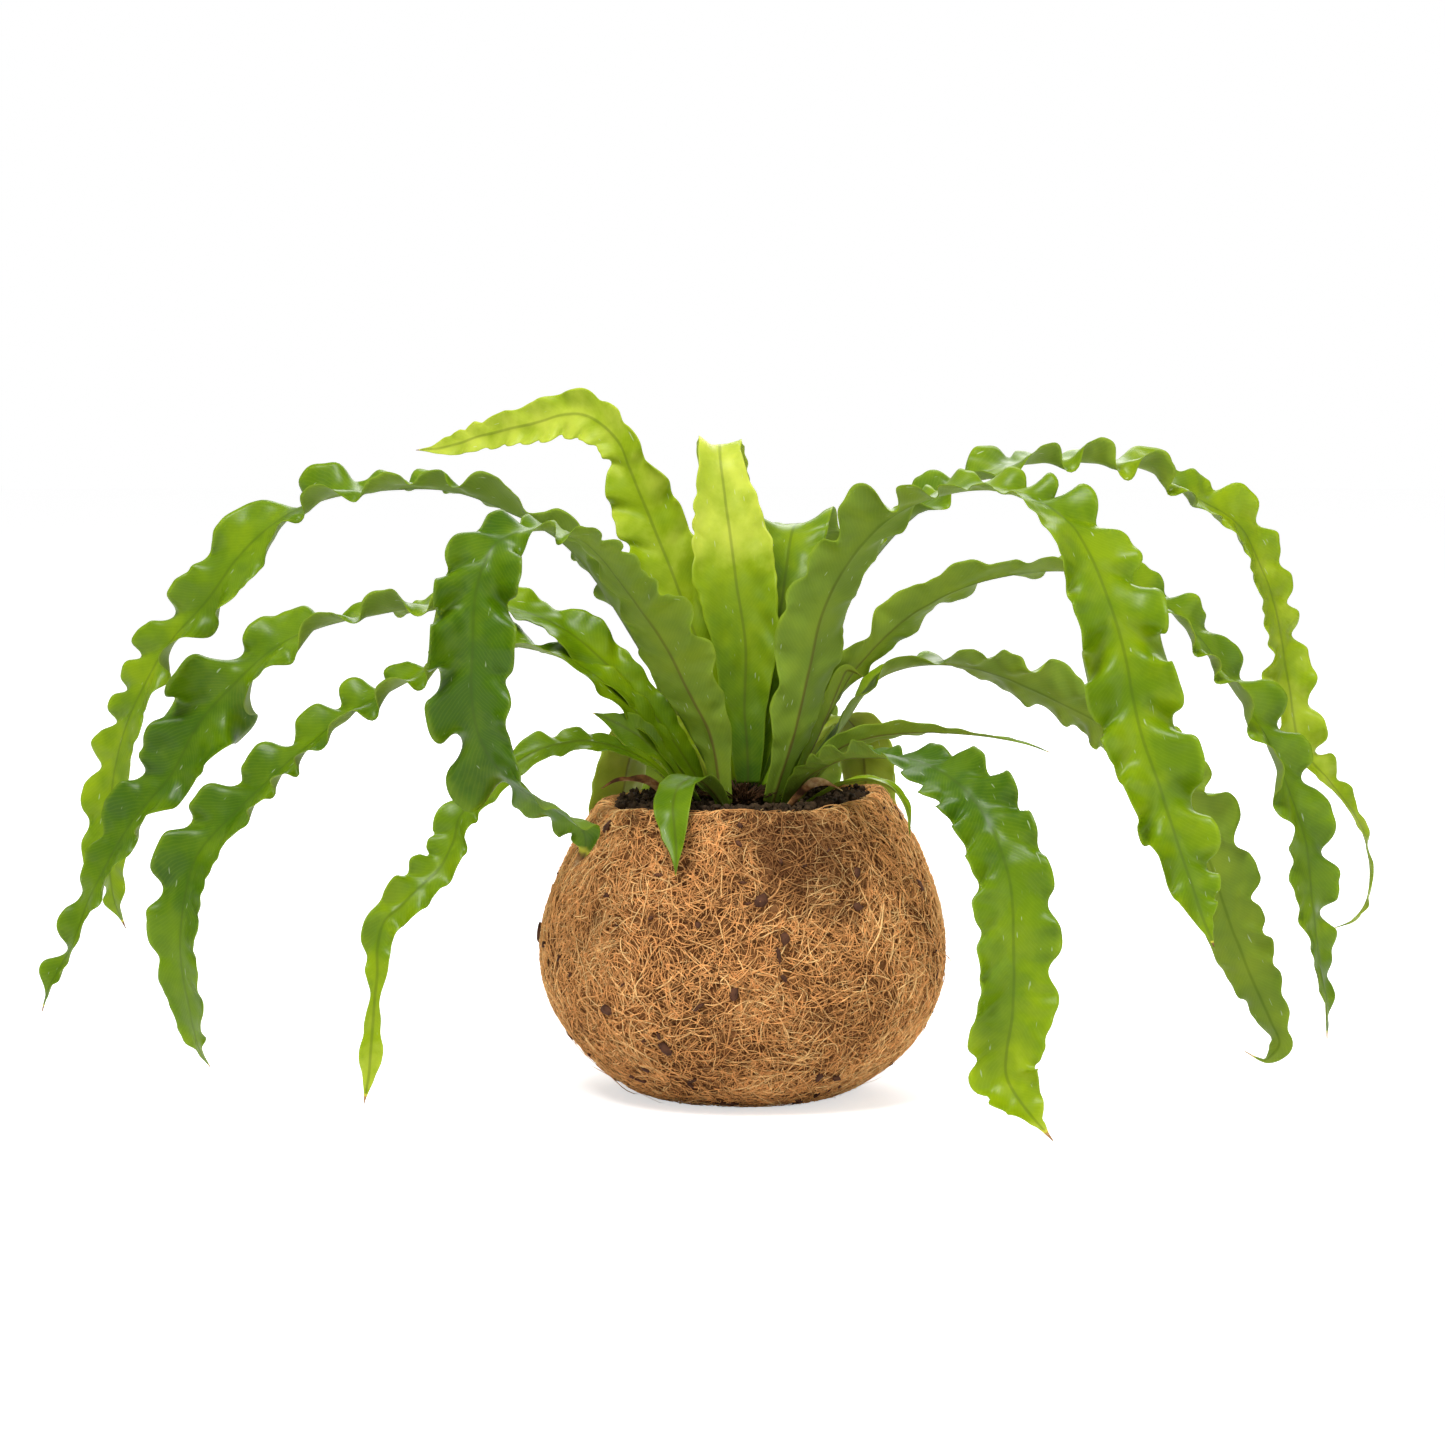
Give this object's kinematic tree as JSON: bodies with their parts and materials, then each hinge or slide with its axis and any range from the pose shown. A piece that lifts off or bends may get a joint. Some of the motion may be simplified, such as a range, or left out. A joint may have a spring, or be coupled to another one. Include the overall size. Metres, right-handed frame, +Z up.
{
  "type": "fern kokedama",
  "caption": "Bird's-nest fern with long wavy arching fronds, rooted in soil inside a ball-shaped pot of pressed coconut fibre.",
  "frame": {"origin": "centre of the pot's flat base, on the surface it stands on", "axes": "+Z up; -Y towards the front of the plant; +X to its right, along the widest spread of the fronds"},
  "size_m": [0.5192, 0.2686, 0.2597],
  "materials": {
    "coir": "matt tangled coconut fibre",
    "soil": "matt crumbly potting soil",
    "crown_scales": "matt brown scales",
    "frond_green": "glossy green leaf, lightly translucent",
    "frond_young": "glossy yellow-green leaf, translucent",
    "frond_dead": "matt dried brown leaf",
    "husk": "matt dark husk"
  },
  "bodies": {
    "root": {"coir_pot": "coir", "potting_soil": "soil", "fern_crown": "crown_scales", "frond_front_left": "frond_green", "frond_front_right": "frond_green", "frond_middle_tall": "frond_young", "frond_tall_left": "frond_young", "frond_left_high": "frond_green", "frond_left_middle": "frond_green", "frond_left_low": "frond_green", "frond_left_short": "frond_green", "frond_left_thin": "frond_green", "frond_back_left": "frond_green", "frond_back_tall": "frond_green", "frond_back_middle": "frond_green", "frond_back_low": "frond_green", "frond_back_right": "frond_green", "frond_right_high": "frond_green", "frond_right_middle": "frond_green", "frond_right_inner": "frond_green", "frond_right_low": "frond_green", "frond_right_thin": "frond_green", "frond_front_low": "frond_green", "frond_rim_right": "frond_green", "frond_rim_front": "frond_green", "dead_frond_left": "frond_dead", "dead_frond_right": "frond_dead", "husk_chip": "husk"}
  },
  "joints": []
}
